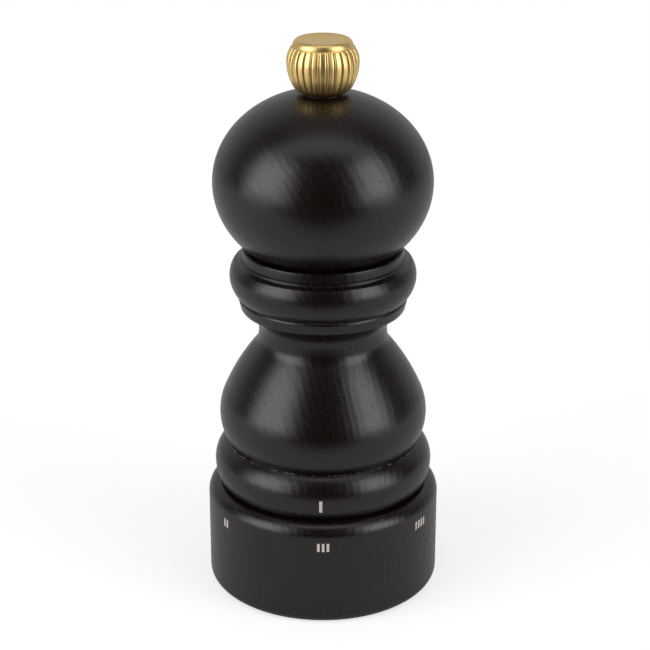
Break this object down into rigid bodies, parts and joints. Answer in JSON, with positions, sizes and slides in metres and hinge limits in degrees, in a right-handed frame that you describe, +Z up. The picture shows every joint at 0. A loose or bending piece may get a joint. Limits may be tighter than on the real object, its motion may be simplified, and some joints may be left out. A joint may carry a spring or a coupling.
{
  "type": "pepper mill",
  "caption": "Turned dark wooden pepper mill with a ball head, a ribbed brass knob and a turning base ring that sets the grind.",
  "frame": {"origin": "middle of the foot of the base ring, on the surface that the mill stands on", "axes": "+Z up along the shaft, front with the pointer mark towards -Y, +X to the right seen from the front"},
  "size_m": [0.05, 0.05, 0.12],
  "materials": {
    "dark_wood": "satin lacquered, stained dark brown",
    "knob_brass": "turned and lightly polished",
    "bush_brass": "turned",
    "bright_steel": "bright zinc plated",
    "burr_steel": "case hardened, dark",
    "spring_steel": "drawn",
    "black_plastic": "moulded, fine matt",
    "pale_plastic": "moulded"
  },
  "bodies": {
    "mill_body": {"body_shell": "dark_wood", "mechanism_sleeve": "black_plastic", "sleeve_screws": "bright_steel", "bearing_bridge": "bright_steel", "bridge_bush": "bush_brass", "thrust_washer": "pale_plastic", "click_spring": "spring_steel", "ring_retainer": "bright_steel", "ring_retainer_screws": "bright_steel", "burr_spring": "spring_steel"},
    "drive": {"drive_shaft": "bright_steel", "retaining_clip": "spring_steel", "inner_burr": "burr_steel", "burr_washer": "bright_steel", "burr_nut": "bright_steel"},
    "head": {"head_shell": "dark_wood", "head_bush": "bush_brass", "drive_plate": "bright_steel", "drive_plate_screws": "bright_steel"},
    "knob_seat": {"knob_washer": "black_plastic"},
    "knob": {"top_knob": "knob_brass"},
    "base_ring": {"setting_ring": "dark_wood", "ring_liner": "black_plastic", "adjusting_nut": "black_plastic", "adjusting_nut_screws": "bright_steel"},
    "burr_carriage": {"burr_carrier": "black_plastic", "outer_burr": "burr_steel"}
  },
  "joints": [
    {"name": "grind_turn", "type": "hinge", "parent": "mill_body", "child": "drive", "pos_m": [0, 0, 0.034], "axis": [0, 0, 1], "continuous": true},
    {"name": "head_lift", "type": "slide", "parent": "drive", "child": "head", "axis": [0, 0, 1], "range_m": [0, 0.052]},
    {"name": "knob_lift", "type": "slide", "parent": "head", "child": "knob_seat", "axis": [0, 0, 1], "range_m": [0, 0.00681]},
    {"name": "knob_turn", "type": "hinge", "parent": "knob_seat", "child": "knob", "pos_m": [0, 0, 0.1095], "axis": [0, 0, 1], "range_deg": [0, 3060]},
    {"name": "ring_turn", "type": "hinge", "parent": "mill_body", "child": "base_ring", "pos_m": [0, 0, 0.011], "axis": [0, 0, 1], "range_deg": [-168, 112], "deforming": ["click_spring"]},
    {"name": "burr_lift", "type": "slide", "parent": "mill_body", "child": "burr_carriage", "axis": [0, 0, 1], "range_m": [-0.00047, 0.0007], "deforming": ["burr_spring"]}
  ],
  "couplings": [
    {"joint": "knob_lift", "follows": "knob_turn", "m_per_rad": 0.00012732},
    {"joint": "burr_lift", "follows": "ring_turn", "m_per_rad": -0.00023873}
  ]
}
